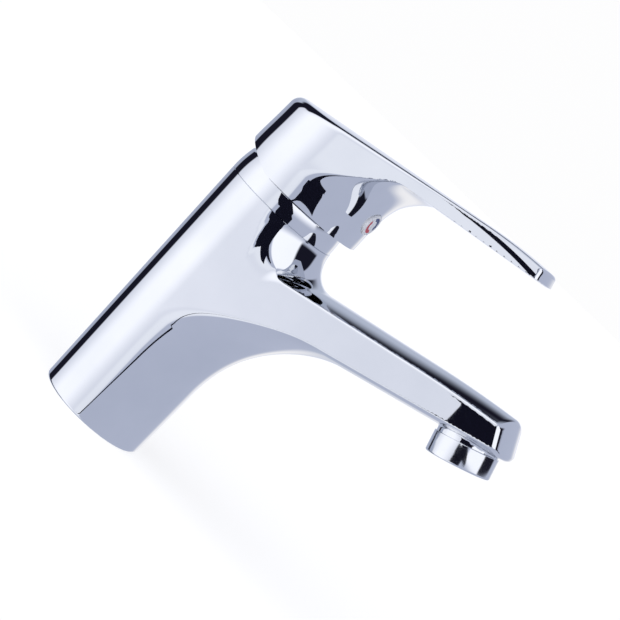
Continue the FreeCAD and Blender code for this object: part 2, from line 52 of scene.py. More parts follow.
# ---------------------------------------------------------------- driving dimensions
SEAM_Z = 104.0            # joint between casting and dome collar
BASE_R = 22.3             # column radius on the deck and at the seam
SEAM_R = 24.0
BASE_EDGE = 1.2
SPOUT_TAPER = math.radians(4.4)
UNDER_SLOPE = 0.28        # underside of the spout: rise per mm, height at the axis, big radius
UNDER_Z0 = 63.7
UNDER_FILLET = 52.0
FILLET_FACE = 23.2
CROWN_SLOPE = 0.2254      # top of the spout
CROWN_Z0 = 86.5
CROWN_DROP = 4.3
DROOP_START = 85.0
DROOP_RATE = 0.0012
CROWN_EDGE = 0.8          # edge between the spout's top and flanks, and how much rounder it is where
SHOULDER_EDGE = 1.7       # it leaves the column: (start, length) of the way in, forwards, and out, backwards
SHOULDER_IN = (8.5, 4.0)
SHOULDER_OUT = (-27.0, 6.0)
SADDLE_WIDE = (13.0, 8.2)   # saddle between column and spout top: out from the wall and up from the
SADDLE_TALL = (13.5, 25.0)  # crown, each at the middle and at the flanks
WALL_GAP = 0.1            # the saddle's wall outside the column, and how much further out behind
WALL_BACK = 3.0
WALL_BACK_EASE = (-9.0, 9.0)
SEAM_CUT_RISE = 60.0      # the level cut at the seam lifts clear of the spout: how far, and where
SEAM_CUT_EASE = (40.0, 20.0)
TAPER_FADE = (30.0, 60.0)  # heights between which the flanks' taper fades in
NOSE_DEPTH = 10.5         # the rounded front in plan: its length, how much more low down, the heights
NOSE_DEEPER = 14.5
NOSE_FADE = (50.0, 80.0)
TIP_REACH = 119.8
TIP_TOP_Z = 112.0
TIP_SLANT = 0.55
TIP_BULGE_R = 40.0
TIP_EDGE = 1.8
NOZZLE_Y = -111.7
NOZZLE_Z = 93.5
NOZZLE_TILT = math.radians(18.0)
RING_R = 12.45
RING_H = 8.1
NECK_R = 11.9
NECK_TOP = 7.0
NECK_FILLET = 0.6
THREAD_R = 10.95
NOZZLE_LEN = 4.2
NOZZLE_BORE_R = 8.6
CAVITY_FLOOR = 75.0
CAVITY_R = 17.6
THREAD_BORE_R = 20.05
THREAD_BORE_Z = 94.0
RECESS_R = 17.5
RECESS_H = 14.0
SEAL_GROOVE = (18.6, 20.8, 1.8)
INLET_X = 8.2
INLET_Y = 4.6
INLET_R = 4.5
INLET_DEPTH = 12.0
STUD_Y = -9.5
STUD_R = 3.4

RIM_Z = 111.8             # handle
RIM_REAR_Y = 3.5
RIM_REAR_SLOPE = 0.31
SKIRT_R = 27.6
SKIRT_REF_Z = 115.0
SKIRT_DRAFT = 0.041
DRAFT_EASE_Z = 119.0      # the draft eases to none from here up
DRAFT_EASE = 14.0
SKIRT_TUCK = 0.0004       # the skirt's flanks curl in below TUCK_Z, by this times the cube of the drop
TUCK_Z = 126.0
TUCK_EASE = (-26.0, 12.0)
SKIRT_Y = -1.8
SKIRT_LEAN = 0.041
SKIRT_WALL = 2.4
LEVER_TAPER = math.radians(10.7)
LEVER_UNDER_Z0 = 137.44
LEVER_UNDER_SLOPE = 0.1525
LEVER_FILLET = 11.0
LEVER_TAPER_FADE = (112.0, 132.0)
LEVER_NOSE_DEPTH = 2.6
LEVER_NOSE_DEEPER = 25.0
LEVER_NOSE_FADE = (116.0, 142.0)
LEVER_EDGE = 1.0          # round of the top's edge at the tip, how much more at the skirt, and behind
LEVER_EDGE_MORE = 1.2
LEVER_EDGE_EASE = (-60.0, 50.0)
REAR_EDGE_MORE = 1.3
REAR_EDGE_EASE = (-15.0, 40.0)
LEVER_TOP_Z0 = 143.2
LEVER_TOP_SLOPE = 0.164
LEVER_TOP_CROWN_R = 400.0
LEVER_FLAT_START = 66.0
LEVER_FLAT_RATE = 0.0029
LEVER_TIP = 91.2
LEVER_TIP_Z = 156.3
LEVER_TIP_R = 60.0
LEVER_TIP_SLANT = 0.28
LEVER_TIP_EDGE = 1.2
BEVEL_BEND = 0.045        # bevel along the lever's sides: it bends in by this times the height squared
BEVEL_STEEP = 3.0         # and runs on straight above this height
BEVEL_START = 61.0        # in front of here its lower edge drops from BEVEL_LINE to the tip's bottom
BEVEL_FALL = 0.004
BEVEL_LINE = 2.9
BEVEL_EASE = (45.0, 15.0)
ROOF = 4.0
BOSS_HALF = 7.5
BOSS_FRONT = 10.0
BOSS_Z = 119.2
SOCKET_HALF = 4.52
SOCKET_TOP = 133.8
BADGE_Z = 123.7
BADGE_R = 4.75

COLLAR_ARC_R = 40.0
COLLAR_TOP = 114.5
COLLAR_BORE = 18.6
COLLAR_SEAT = (20.3, 105.1)
COLLAR_EDGE = 1.5
SEAM_CHAMFER = 0.35       # makes the joint line round the column
RING_EDGES = (0.35, 0.7)  # aerator ring: its upper and lower edge
RING_HOLE_R = 9.8
RING_LIP = 0.3
RING_SEAT = (10.6, 0.8)
RING_THREAD_END = -4.6


# ---------------------------------------------------------------- fields: negative inside
def meet(a, b, r):
    """Both a and b, with a convex edge of radius r."""
    return np.minimum(np.maximum(a, b), -r) + np.hypot(np.maximum(a + r, 0), np.maximum(b + r, 0))


def join(a, b, r):
    """a or b, with a concave fillet of radius r."""
    return np.maximum(np.minimum(a, b), r) - np.hypot(np.maximum(r - a, 0), np.maximum(r - b, 0))


def sweep_up(floor, wall, wide, tall):
    """floor or wall, with a concave elliptical fillet: wide out from the wall, tall up from the floor."""
    near = np.maximum(1.0 - wall / wide, 0.0)
    high = np.maximum(1.0 - floor / tall, 0.0)
    bend = (1.0 - np.hypot(near, high)) * np.minimum(wide, tall)
    return np.where((near > 0) & (high > 0), bend, np.minimum(floor, wall))


def smooth(t):
    t = np.clip(t, 0.0, 1.0)
    return t * t * (3.0 - 2.0 * t)


def ease(value, start, length):
    """0 at start and 1 a length further on."""
    return smooth((value - start) / length)


def fall(z, z_from, z_to):
    """1 below z_from, 0 above z_to."""
    return 0.5 + 0.5 * np.cos(np.pi * np.clip((z - z_from) / (z_to - z_from), 0.0, 1.0))


def front_reach(z, face, z0, slope, fillet):
    """How far the front stands out at height z: a vertical face, a fillet, a rising line."""
    angle = math.atan(slope)
    corner = z0 + slope * face
    leg = fillet * math.tan((math.pi / 2 - angle) / 2)
    rise = np.clip(z - (corner - leg), 0.0, leg * (1.0 + math.sin(angle)))
    arc = face + fillet - np.sqrt(fillet**2 - rise**2)
    return np.where(z >= corner + leg * math.sin(angle), (z - z0) / slope, arc)


def level_outline(x, y, radius, taper, front, flank_end):
    """Field of one horizontal outline: round back, tapering flanks, half-ellipse front."""
    ax = np.abs(x)
    tan = np.tan(taper)
    cos = np.cos(taper)
    width = np.maximum(radius / cos + y * tan, 1.0)
    lead = np.maximum((flank_end - y) / (flank_end - front), 0.0)
    flank = (np.hypot(ax / width, lead) - 1.0) * width * cos
    return np.where(y + ax * tan >= 0.0, np.hypot(x, y) - radius, flank)


def true_distance(field, x, y, z):
    """A field divided by the length of its own gradient."""
    e = 0.05
    value = field(x, y, z)
    gx = (field(x + e, y, z) - field(x - e, y, z)) / (2 * e)
    gy = (field(x, y + e, z) - field(x, y - e, z)) / (2 * e)
    gz = (field(x, y, z + e) - field(x, y, z - e)) / (2 * e)
    return value / np.maximum(np.sqrt(gx**2 + gy**2 + gz**2), 0.3)


def column_radius(z):
    return BASE_R + (SEAM_R - BASE_R) * z / SEAM_Z


def casting_outline(x, y, z):
    radius = column_radius(z)
    taper = SPOUT_TAPER * (1.0 - fall(z, *TAPER_FADE))
    reach = front_reach(z, FILLET_FACE, UNDER_Z0, UNDER_SLOPE, UNDER_FILLET)
    front = -(reach - FILLET_FACE + radius)
    depth = NOSE_DEPTH + NOSE_DEEPER * fall(z, *NOSE_FADE)
    flank_end = np.minimum(-radius * np.sin(taper), front + depth)
    return level_outline(x, y, radius, taper, front, flank_end)


def spout_width(y):
    return SEAM_R / math.cos(SPOUT_TAPER) + y * math.tan(SPOUT_TAPER)


def crown_field(x, y, z):
    droop = DROOP_RATE * np.maximum(0.0, -y - DROOP_START) ** 2
    top = CROWN_Z0 - CROWN_SLOPE * y - droop - CROWN_DROP * (x / spout_width(y)) ** 2
    return (z - top) / math.hypot(1.0, CROWN_SLOPE)


def end_field(x, y, z, reach, top_z, slant, bulge_r):
    return (-y - reach - (top_z - z) * slant + x**2 / (2 * bulge_r)) / math.hypot(1.0, slant)


def nozzle_frame(y, z):
    """Coordinates across and along the nozzle: v forward, w up its axis from the ring's top."""
    dy = y - NOZZLE_Y
    dz = z - NOZZLE_Z
    cos = math.cos(NOZZLE_TILT)
    sin = math.sin(NOZZLE_TILT)
    return dy * cos - dz * sin, dy * sin + dz * cos


def capped(radial, low, high):
    return np.maximum(radial, np.maximum(low, high))


def spout_top(x, y, z, r):
    """Everything under the spout's crowned top and the saddle that sweeps up the column from it."""
    side = np.clip(np.abs(x) / np.maximum(r, 1.0), 0.0, 1.0) ** 2
    wide = SADDLE_WIDE[0] + (SADDLE_WIDE[1] - SADDLE_WIDE[0]) * side
    tall = SADDLE_TALL[0] + (SADDLE_TALL[1] - SADDLE_TALL[0]) * side
    wall = r - column_radius(z) - WALL_GAP - WALL_BACK * ease(y, *WALL_BACK_EASE)
    return sweep_up(crown_field(x, y, z), wall, wide, tall)


def casting_hollows(x, y, z, r, across, w):
    """The openings that can be seen into: foot, cartridge pocket, nozzle, inlets, stud, seal groove."""
    hollows = [capped(r - RECESS_R, -z - 5.0, z - RECESS_H)]
    hollows.append(capped(r - CAVITY_R, CAVITY_FLOOR - z, z - 200.0))
    hollows.append(capped(r - THREAD_BORE_R, THREAD_BORE_Z - z, z - SEAM_Z - 0.001))
    hollows.append(capped(across - NOZZLE_BORE_R, -w - 20.0, w - 6.0))
    for sx in (-1, 1):
        inlet = np.hypot(x - sx * INLET_X, y - INLET_Y) - INLET_R
        hollows.append(capped(inlet, RECESS_H - 1.0 - z, z - RECESS_H - INLET_DEPTH))
    stud = np.hypot(x, y - STUD_Y) - STUD_R
    hollows.append(capped(stud, RECESS_H - 1.0 - z, z - RECESS_H - INLET_DEPTH))
    inner, outer, depth = SEAL_GROOVE
    hollows.append(np.maximum(np.maximum(inner - r, r - outer), z - depth))
    return hollows


def casting_field(x, y, z):
    r = np.hypot(x, y)
    outline = true_distance(casting_outline, x, y, z)
    shoulder = ease(-y, *SHOULDER_IN) * ease(y, *SHOULDER_OUT)
    solid = meet(outline, spout_top(x, y, z, r), CROWN_EDGE + SHOULDER_EDGE * shoulder)
    solid = np.maximum(solid, z - SEAM_Z - SEAM_CUT_RISE * ease(-y, *SEAM_CUT_EASE))
    end = end_field(x, y, z, TIP_REACH, TIP_TOP_Z, TIP_SLANT, TIP_BULGE_R)
    solid = meet(solid, end, TIP_EDGE)
    solid = meet(solid, -z, BASE_EDGE)
    v, w = nozzle_frame(y, z)
    across = np.hypot(x, v)
    solid = join(solid, capped(across - NECK_R, -w, w - NECK_TOP), NECK_FILLET)
    solid = np.minimum(solid, capped(across - THREAD_R, -w - NOZZLE_LEN, w - 1.0))
    for hollow in casting_hollows(x, y, z, r, across, w):
        solid = np.maximum(solid, -hollow)
    return solid


def handle_outline(x, y, z):
    centre = SKIRT_Y - SKIRT_LEAN * (z - SKIRT_REF_Z)
    tuck = SKIRT_TUCK * np.maximum(0.0, TUCK_Z - z) ** 3 * ease(y, *TUCK_EASE)
    eased = np.clip(z - DRAFT_EASE_Z, 0.0, DRAFT_EASE)
    rise = np.minimum(z, DRAFT_EASE_Z) + eased - eased**2 / (2 * DRAFT_EASE) - SKIRT_REF_Z
    radius = SKIRT_R - SKIRT_DRAFT * rise - tuck
    taper = LEVER_TAPER * (1.0 - fall(z, *LEVER_TAPER_FADE))
    front = -front_reach(z, radius - centre, LEVER_UNDER_Z0, LEVER_UNDER_SLOPE, LEVER_FILLET) - centre
    depth = LEVER_NOSE_DEPTH + LEVER_NOSE_DEEPER * fall(z, *LEVER_NOSE_FADE)
    flank_end = np.minimum(-radius * np.sin(taper), front + depth)
    return level_outline(x, y - centre, radius, taper, front, flank_end)


def lever_top_field(x, y, z):
    flat = LEVER_FLAT_RATE * np.maximum(0.0, -y - LEVER_FLAT_START) ** 2
    top = LEVER_TOP_Z0 - LEVER_TOP_SLOPE * y - flat - x**2 / LEVER_TOP_CROWN_R
    return (z - top) / math.hypot(1.0, LEVER_TOP_SLOPE)


def bevel(y, z):
    """How far the lever's sides are cut back by the bevel that widens towards the tip."""
    line = BEVEL_LINE - BEVEL_FALL * np.maximum(0.0, -y - BEVEL_START) ** 2
    bottom = LEVER_UNDER_Z0 - LEVER_UNDER_SLOPE * y
    height = np.maximum(0.0, z - bottom - line) * ease(-y, *BEVEL_EASE)
    bent = np.minimum(height, BEVEL_STEEP)
    return BEVEL_BEND * (bent**2 + 2.0 * BEVEL_STEEP * (height - bent))


def handle_field(x, y, z):
    outline = true_distance(handle_outline, x, y, z) + bevel(y, z)
    edge = LEVER_EDGE + LEVER_EDGE_MORE * ease(y, *LEVER_EDGE_EASE)
    edge = edge + REAR_EDGE_MORE * ease(y, *REAR_EDGE_EASE)
    top = lever_top_field(x, y, z)
    solid = meet(outline, top, edge)
    end = end_field(x, y, z, LEVER_TIP, LEVER_TIP_Z, LEVER_TIP_SLANT, LEVER_TIP_R)
    solid = meet(solid, end, LEVER_TIP_EDGE)
    rim = RIM_Z + RIM_REAR_SLOPE * np.maximum(0.0, y - RIM_REAR_Y) - z
    solid = np.maximum(solid, rim)
    centre = SKIRT_Y - SKIRT_LEAN * (z - SKIRT_REF_Z)
    inner = np.hypot(x, y - centre) - SKIRT_R + SKIRT_WALL
    boss = np.maximum(np.abs(x) - BOSS_HALF, np.maximum(-y - BOSS_FRONT, y - BOSS_HALF))
    boss = np.maximum(boss, BOSS_Z - z)
    hollow = np.maximum(np.maximum(inner, top + ROOF), -boss)
    solid = np.maximum(solid, -hollow)
    socket = np.maximum(np.abs(x), np.abs(y)) - SOCKET_HALF
    solid = np.maximum(solid, -capped(socket, BOSS_Z - 2.0 - z, z - SOCKET_TOP))
    badge = capped(np.hypot(x, z - BADGE_Z) - BADGE_R - 0.05, -y - 45.0, y + 20.0)
    return np.maximum(solid, -badge)


# ---------------------------------------------------------------- meshes from fields
NORMAL_STEP = 0.02        # mm, for the gradient; then at vertices, and beside sharp edges
VERTEX_STEP = 0.04
INSET_STEP = 0.03
INSET = 0.4               # how far into its face a sharp corner's normal is read
SHARP = math.cos(math.radians(34.0))
BLOCK = 3                 # grid steps to a side of the blocks that are tested first
CELL_REACH = 0.8          # part of a cell's diagonal that a vertex may move
HALVINGS = 9
FLAT_WEIGHT = 0.03        # holds vertices of flat cells near their middle


def gradient(field, p, e=NORMAL_STEP):
    x, y, z = p.T
    gx = field(x + e, y, z) - field(x - e, y, z)
    gy = field(x, y + e, z) - field(x, y - e, z)
    gz = field(x, y, z + e) - field(x, y, z - e)
    return np.stack([gx, gy, gz], axis=1) / (2 * e)


def unit(vectors):
    return vectors / np.maximum(np.linalg.norm(vectors, axis=1), 1e-9)[:, None]


def grid_values(field, axes, step):
    """The field at the grid's nodes: worked out near the surface, and only its sign elsewhere."""
    shape = [len(axis) for axis in axes]
    middles = []
    for axis in axes:
        middle = np.arange(0, len(axis), BLOCK) + BLOCK // 2
        middles.append(axis[np.minimum(middle, len(axis) - 1)])
    value = field(*np.meshgrid(*middles, indexing="ij"))
    for k in range(3):
        value = np.repeat(value, BLOCK, axis=k)
    value = value[:shape[0], :shape[1], :shape[2]]
    near = np.nonzero(np.abs(value) < CELL_REACH * BLOCK * np.linalg.norm(step))
    value[near] = field(*(axes[k][near[k]] for k in range(3)))
    return value


def crossings(field, value, low, step, cells):
    """Where the grid's edges cross the surface: (cell number, point, normal), one row to each cell."""
    rows = []
    size = np.array(value.shape)
    for axis in range(3):
        lower = [slice(None)] * 3
        upper = [slice(None)] * 3
        lower[axis] = slice(0, -1)
        upper[axis] = slice(1, None)
        va = value[tuple(lower)]
        vb = value[tuple(upper)]
        node = np.stack(np.nonzero((va < 0) != (vb < 0)), axis=1)
        key = tuple(node.T)
        near = np.zeros(len(node))
        far = np.ones(len(node))
        inside = va[key] < 0
        start = low + node * step
        for _ in range(HALVINGS):
            middle = (near + far) / 2
            point = start.copy()
            point[:, axis] += middle * step[axis]
            same = (field(*point.T) < 0) == inside
            near = np.where(same, middle, near)
            far = np.where(same, far, middle)
        point = start.copy()
        point[:, axis] += (near + far) / 2 * step[axis]
        normal = unit(gradient(field, point))
        u, v = [k for k in range(3) if k != axis]
        for du, dv in ((0, 0), (1, 0), (0, 1), (1, 1)):
            cell = node.copy()
            cell[:, u] -= du
            cell[:, v] -= dv
            fits = ((cell >= 0) & (cell < size - 1)).all(axis=1)
            number = np.ravel_multi_index(tuple(cell[fits].T), cells)
            rows.append((number, point[fits], normal[fits]))
    return [np.concatenate(part) for part in zip(*rows)]


def corner_points(number, point, normal, total):
    """For each cell, the point nearest to all its tangent planes, and how far its normals spread."""
    count = np.maximum(np.bincount(number, minlength=total), 1)
    mean = np.stack([np.bincount(number, point[:, k], total) for k in range(3)], axis=1)
    mean /= count[:, None]
    facing = np.stack([np.bincount(number, normal[:, k], total) for k in range(3)], axis=1)
    facing = unit(facing)
    spread = np.ones(total)
    np.minimum.at(spread, number, (normal * facing[number]).sum(axis=1))
    offset = ((point - mean[number]) * normal).sum(axis=1)
    matrix = np.empty((total, 3, 3))
    right = np.empty((total, 3))
    for i in range(3):
        right[:, i] = np.bincount(number, normal[:, i] * offset, total)
        for j in range(3):
            matrix[:, i, j] = np.bincount(number, normal[:, i] * normal[:, j], total)
    matrix += FLAT_WEIGHT * np.eye(3)
    move = np.linalg.solve(matrix, right[:, :, None])[:, :, 0]
    return mean, move, spread


def sheet_quads(value, index):
    """Quads between the cells round each crossed edge, facing outwards."""
    quads = []
    for axis in range(3):
        u, v = [(1, 2), (2, 0), (0, 1)][axis]
        span = [slice(1, -1)] * 3
        span[axis] = slice(0, -1)
        lower = value[tuple(span)]
        span[axis] = slice(1, None)
        upper = value[tuple(span)]
        found = np.nonzero((lower < 0) != (upper < 0))
        inward = (lower < 0)[found]
        base = np.stack(found, axis=1) + 1
        base[:, axis] -= 1
        ring = []
        for du, dv in ((0, 0), (1, 0), (1, 1), (0, 1)):
            cell = base.copy()
            cell[:, u] -= du
            cell[:, v] -= dv
            ring.append(index[tuple(cell.T)])
        quad = np.stack(ring, axis=1)
        quad[~inward] = quad[~inward][:, ::-1]
        quads.append(quad)
    return np.concatenate(quads)


def settle(field, points, step, rounds=5):
    """Moves points onto the zero surface by Newton steps."""
    for _ in range(rounds):
        g = gradient(field, points)
        size = np.maximum((g**2).sum(axis=1), 0.05)
        move = -field(*points.T)[:, None] * g / size[:, None]
        length = np.maximum(np.linalg.norm(move, axis=1), 1e-9)
        points = points + move * np.minimum(1.0, 0.5 * step.min() / length)[:, None]
    return points


def surface_net(field, low, high, step):
    """Quads on a field's zero surface, and which vertices are smooth; sharp edges stay sharp."""
    low = np.array(low)
    step = np.array(step)
    axes = [np.arange(a, b + s, s) for a, b, s in zip(low, high, step)]
    value = grid_values(field, axes, step)
    cells = tuple(n - 1 for n in value.shape)
    number, point, normal = crossings(field, value, low, step, cells)
    used, number = np.unique(number, return_inverse=True)
    index = np.full(math.prod(cells), -1, dtype=np.int64)
    index[used] = np.arange(len(used))
    mean, move, spread = corner_points(number, point, normal, len(used))
    length = np.linalg.norm(move, axis=1)
    move *= np.minimum(1.0, CELL_REACH * np.linalg.norm(step) / np.maximum(length, 1e-9))[:, None]
    smooth_cell = spread > SHARP
    points = mean + move
    points[smooth_cell] = settle(field, points[smooth_cell], step)
    points[:, 2] = np.maximum(points[:, 2], 0.0)  # nothing reaches below the deck
    return points, sheet_quads(value, index.reshape(cells)), smooth_cell


def corner_normals(field, points, quads, smooth_cell):
    """A normal for each face corner: the field's own, or the face's side of a sharp edge."""
    normals = unit(gradient(field, points, VERTEX_STEP))[quads]
    centre = points[quads].mean(axis=1)
    sharp = ~smooth_cell[quads]
    inset = points[quads] * (1.0 - INSET) + centre[:, None, :] * INSET
    normals[sharp] = unit(gradient(field, inset[sharp], INSET_STEP))
    return normals.reshape(-1, 3)


def place_mesh(name, mesh):
    obj = bpy.data.objects.new(name, mesh)
    bpy.context.scene.collection.objects.link(obj)
    return obj


def cast(name, field, low, high, step):
    """A solid from its field, with normals from the field itself."""
    points, quads, smooth_cell = surface_net(field, low, high, step)
    mesh = bpy.data.meshes.new(name)
    mesh.from_pydata((points * MM).tolist(), [], quads.tolist())
    mesh.shade_smooth()
    mesh.normals_split_custom_set(corner_normals(field, points, quads, smooth_cell).tolist())
    return place_mesh(name, mesh)


def arc(cx, cz, r, start, end, count=8):
    """Points of an arc in an outline, angles in degrees from +radius towards +height."""
    angles = np.radians(np.linspace(start, end, count))
    return [(cx + r * math.cos(a), cz + r * math.sin(a)) for a in angles]


def lathe(name, outline, place=Matrix.Identity(4), segments=144, crease=35.0):
    """Turns a closed outline of (radius, height) in mm about Z, then places it."""
    verts = []
    for radius, height in outline:
        for i in range(segments):
            a = 2 * math.pi * i / segments
            point = place @ Vector((radius * math.cos(a), radius * math.sin(a), height))
            verts.append(point * MM)
    faces = []
    rings = len(outline)
    for k in range(rings):
        for i in range(segments):
            j = (i + 1) % segments
            m = (k + 1) % rings
            faces.append((k * segments + i, k * segments + j, m * segments + j, m * segments + i))
    mesh = bpy.data.meshes.new(name)
    mesh.from_pydata([tuple(v) for v in verts], [], faces)
    mesh.shade_smooth()
    mesh.set_sharp_from_angle(angle=math.radians(crease))
    return place_mesh(name, mesh)


# ---------------------------------------------------------------- materials
NOISE_LOW = 0.3           # the part of the noise's range that is spread over the whole tone
NOISE_HIGH = 0.7


def math_node(tree, operation, a, b=None):
    node = tree.nodes.new("ShaderNodeMath")
    node.operation = operation
    for socket, value in zip(node.inputs, (a, b)):
        if value is None:
            continue
        if isinstance(value, (int, float)):
            socket.default_value = value
        else:
            tree.links.new(value, socket)
    return node.outputs["Value"]


def new_material(name):
    material = bpy.data.materials.new(name)
    material.use_nodes = True
    tree = material.node_tree
    shader = tree.nodes["Principled BSDF"]
    return material, tree, shader


def noise(tree, scale, detail, roughness):
    """Noise in the object's own coordinates, scale per metre."""
    coords = tree.nodes.new("ShaderNodeTexCoord")
    node = tree.nodes.new("ShaderNodeTexNoise")
    node.inputs["Scale"].default_value = scale
    node.inputs["Detail"].default_value = detail
    node.inputs["Roughness"].default_value = roughness
    tree.links.new(coords.outputs["Object"], node.inputs["Vector"])
    return node.outputs["Fac"]


def spread(tree, factor, low, high):
    """Maps a noise factor to low..high."""
    node = tree.nodes.new("ShaderNodeMapRange")
    node.inputs["From Min"].default_value = NOISE_LOW
    node.inputs["From Max"].default_value = NOISE_HIGH
    node.inputs["To Min"].default_value = low
    node.inputs["To Max"].default_value = high
    tree.links.new(factor, node.inputs["Value"])
    return node.outputs["Result"]


def two_tone(tree, factor, dark, light):
    ramp = tree.nodes.new("ShaderNodeValToRGB")
    ramp.color_ramp.elements[0].position = NOISE_LOW
    ramp.color_ramp.elements[0].color = (*dark, 1)
    ramp.color_ramp.elements[1].position = NOISE_HIGH
    ramp.color_ramp.elements[1].color = (*light, 1)
    tree.links.new(factor, ramp.inputs["Fac"])
    return ramp.outputs["Color"]


def bump(tree, shader, factor, strength, distance):
    node = tree.nodes.new("ShaderNodeBump")
    node.inputs["Strength"].default_value = strength
    node.inputs["Distance"].default_value = distance
    tree.links.new(factor, node.inputs["Height"])
    tree.links.new(node.outputs["Normal"], shader.inputs["Normal"])


def finish_material(name, dark, light, metallic, rough, grain, bump_strength, bump_distance=1e-5):
    """Principled surface with fine colour, gloss and relief variation; grain is per metre."""
    material, tree, shader = new_material(name)
    shader.inputs["Metallic"].default_value = metallic
    tone = noise(tree, grain, 4.0, 0.55)
    tree.links.new(two_tone(tree, tone, dark, light), shader.inputs["Base Color"])
    gloss = noise(tree, grain * 2.3, 5.0, 0.6)
    tree.links.new(spread(tree, gloss, *rough), shader.inputs["Roughness"])
    relief = noise(tree, grain * 6.0, 3.0, 0.5)
    bump(tree, shader, relief, bump_strength, bump_distance)
    return material


def paint_cup_shade(name, radius, centre_y, top_z):
    """Inside a cup open at its foot, paints a near-black rough surface as painted shade (metres)."""
    material = MATERIALS[name]
    tree = material.node_tree
    shader = tree.nodes["Principled BSDF"]
    coords = tree.nodes.new("ShaderNodeTexCoord")
    split = tree.nodes.new("ShaderNodeSeparateXYZ")
    tree.links.new(coords.outputs["Object"], split.inputs["Vector"])
    flat = tree.nodes.new("ShaderNodeCombineXYZ")
    tree.links.new(split.outputs["X"], flat.inputs["X"])
    tree.links.new(math_node(tree, "SUBTRACT", split.outputs["Y"], centre_y), flat.inputs["Y"])
    length = tree.nodes.new("ShaderNodeVectorMath")
    length.operation = "LENGTH"
    tree.links.new(flat.outputs["Vector"], length.inputs[0])
    near = math_node(tree, "LESS_THAN", length.outputs["Value"], radius)
    low = math_node(tree, "LESS_THAN", split.outputs["Z"], top_z)
    inside = math_node(tree, "MULTIPLY", near, low)
    # The near-black colour and its roughness are painted shade inside the cup, mixed over the plated finish.
    for socket, value in (("Base Color", CUP_SHADE_COLOUR), ("Roughness", CUP_SHADE_ROUGHNESS)):
        plated = shader.inputs[socket].links[0].from_socket
        mix = tree.nodes.new("ShaderNodeMix")
        mix.data_type = "RGBA"
        tree.links.new(inside, mix.inputs[0])
        tree.links.new(plated, mix.inputs[6])
        mix.inputs[7].default_value = value
        tree.links.new(mix.outputs[2], shader.inputs[socket])


# Near-black colour and roughness of the painted shade inside the handle's cup.
CUP_SHADE_COLOUR = (0.03, 0.03, 0.035, 1)
CUP_SHADE_ROUGHNESS = (0.7, 0.7, 0.7, 1)
CHROME = ((0.76, 0.775, 0.80), (0.82, 0.83, 0.85), 1.0)
POLISHED = (0.012, 0.032)
MOULDED = (0.4, 0.55)
# Each slot: darker tone, lighter tone, metallic, roughness from and to, grain, relief.
FINISHES = {
    "chrome_casting": (*CHROME, POLISHED, 30, 0.02),
    "chrome_collar": (*CHROME, POLISHED, 45, 0.02),
    "chrome_handle": (*CHROME, POLISHED, 34, 0.02),
    "chrome_aerator": (*CHROME, (0.09, 0.15), 60, 0.03),
    "bare_brass": ((0.50, 0.34, 0.13), (0.62, 0.44, 0.19), 1.0, (0.22, 0.42), 160, 0.3),
    "steel": ((0.42, 0.42, 0.43), (0.56, 0.56, 0.57), 1.0, (0.2, 0.4), 400, 0.3),
    "cartridge_plastic": ((0.66, 0.67, 0.69), (0.74, 0.75, 0.76), 0.0, MOULDED, 300, 0.2),
    "rotor_plastic": ((0.50, 0.52, 0.55), (0.57, 0.59, 0.62), 0.0, MOULDED, 300, 0.2),
    "limit_plastic": ((0.42, 0.03, 0.02), (0.52, 0.05, 0.04), 0.0, MOULDED, 300, 0.2),
    "ceramic": ((0.80, 0.78, 0.72), (0.87, 0.85, 0.80), 0.0, (0.12, 0.2), 500, 0.1),
    "badge_plastic": ((0.78, 0.79, 0.83), (0.86, 0.87, 0.90), 0.0, (0.22, 0.34), 500, 0.15),
    "red_mark": ((0.50, 0.01, 0.03), (0.62, 0.02, 0.05), 0.0, (0.25, 0.4), 900, 0.1),
    "blue_mark": ((0.012, 0.03, 0.14), (0.02, 0.05, 0.22), 0.0, (0.25, 0.4), 900, 0.1),
    "aerator_plastic": ((0.60, 0.61, 0.63), (0.68, 0.69, 0.71), 0.0, (0.4, 0.5), 600, 0.2),
    "regulator_plastic": ((0.10, 0.26, 0.16), (0.14, 0.33, 0.21), 0.0, (0.4, 0.5), 600, 0.2),
    "black_rubber": ((0.010, 0.010, 0.011), (0.022, 0.022, 0.024), 0.0, (0.55, 0.75), 500, 0.35, 2e-5),
}
MATERIALS = {name: finish_material(name, *finish) for name, finish in FINISHES.items()}
# Paints shade inside the handle's cup, below its roof.
paint_cup_shade("chrome_handle", 0.0254, -0.0022, 0.1375)


def dress(obj, slot):
    obj.data.materials.clear()
    obj.data.materials.append(MATERIALS[slot])


SLOTS = {part["node"]: part["material_slot"] for part in frame["record"]["subparts"]}
for node_name, node in NODES.items():
    dress(node, SLOTS[node_name])


# ---------------------------------------------------------------- visible castings
def stand_for(obj, node, body):
    dress(obj, SLOTS[node])
    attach(obj, body)
    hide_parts(node)


def build_casting():
    low = (-25.5, -129.5, -1.5)
    high = (25.5, 25.5, 114.0)
    obj = cast("body_casting", casting_field, low, high, (0.6, 0.75, 0.5))
    stand_for(obj, "body", "root")


def build_handle():
    low = (-29.5, -94.5, 110.2)
    high = (29.5, 28.0, 158.5)
    obj = cast("handle_casting", handle_field, low, high, (0.6, 0.75, 0.45))
    stand_for(obj, "handle", "lever")


def collar_radius(z):
    return math.sqrt(COLLAR_ARC_R**2 - (z - SEAM_Z - 0.6) ** 2) - COLLAR_ARC_R + SEAM_R


